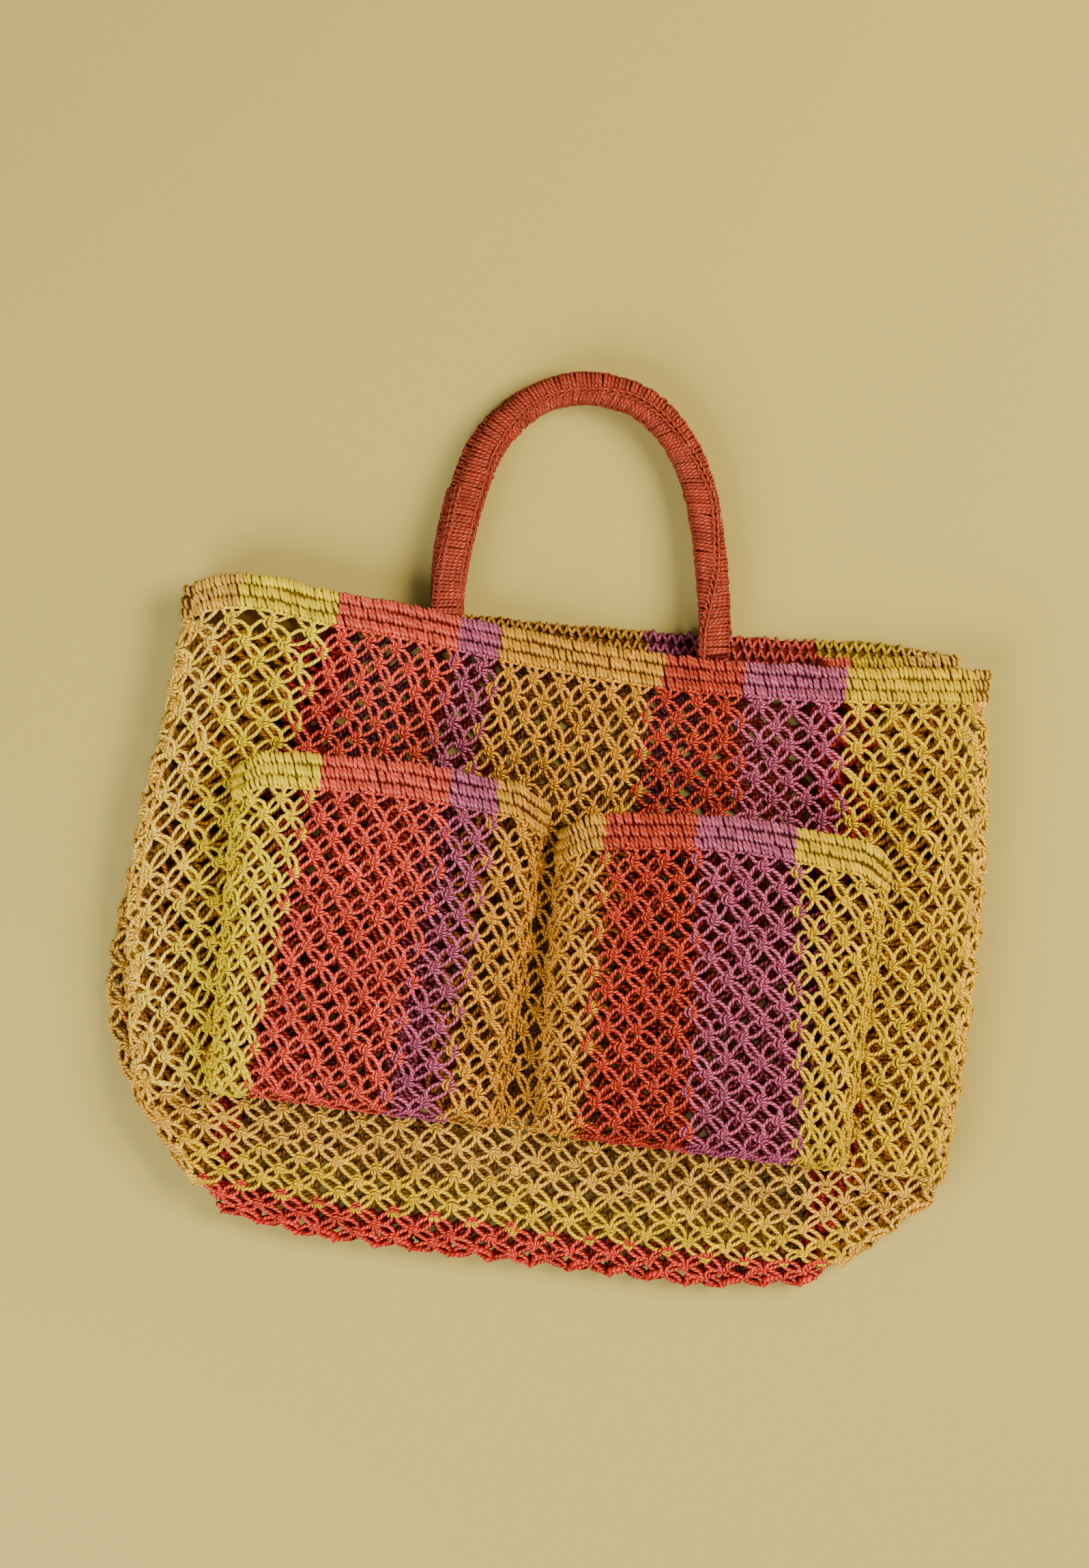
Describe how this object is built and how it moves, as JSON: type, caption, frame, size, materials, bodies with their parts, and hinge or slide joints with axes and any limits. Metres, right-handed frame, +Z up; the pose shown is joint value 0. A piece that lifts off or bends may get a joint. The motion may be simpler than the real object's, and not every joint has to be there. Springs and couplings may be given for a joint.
{
  "type": "knotted jute tote bag",
  "caption": "Knotted jute tote bag with upright colour stripes, bellows front pockets and wrapped loop handles, lying flat on its back with its sides folded in.",
  "frame": {"origin": "under the middle of the whole bag's box, on the surface that the bag lies on", "axes": "+X along the mouth to the right as the pockets face up, +Y from the base towards the handles, +Z up from the surface through the pockets"},
  "size_m": [0.3878, 0.4018, 0.0425],
  "materials": {
    "front_net": "knotted jute cord in upright stripes of natural, yellow, coral, mauve, mustard and orange red",
    "back_net": "knotted jute cord in upright stripes",
    "side_and_base_net": "knotted jute cord in natural, yellow and coral stripes along the strip",
    "mouth_band": "jute cord wrapped in three rows, in the stripes' colours",
    "pocket_left_net": "knotted jute cord in yellow, coral, mauve and mustard stripes",
    "pocket_left_band": "jute cord wrapped in three rows, in the stripes' colours",
    "pocket_right_net": "knotted jute cord in mustard, red, mauve and yellow stripes",
    "pocket_right_band": "jute cord wrapped in three rows, in the stripes' colours",
    "handle_front": "coral jute cord wrapped round a core",
    "handle_back": "coral jute cord wrapped round a core"
  },
  "bodies": {
    "root": {"front_net": "front_net", "back_net": "back_net", "side_and_base_net": "side_and_base_net", "mouth_band": "mouth_band", "pocket_left_net": "pocket_left_net", "pocket_left_band": "pocket_left_band", "pocket_right_net": "pocket_right_net", "pocket_right_band": "pocket_right_band", "handle_front": "handle_front", "handle_back": "handle_back"}
  },
  "joints": []
}
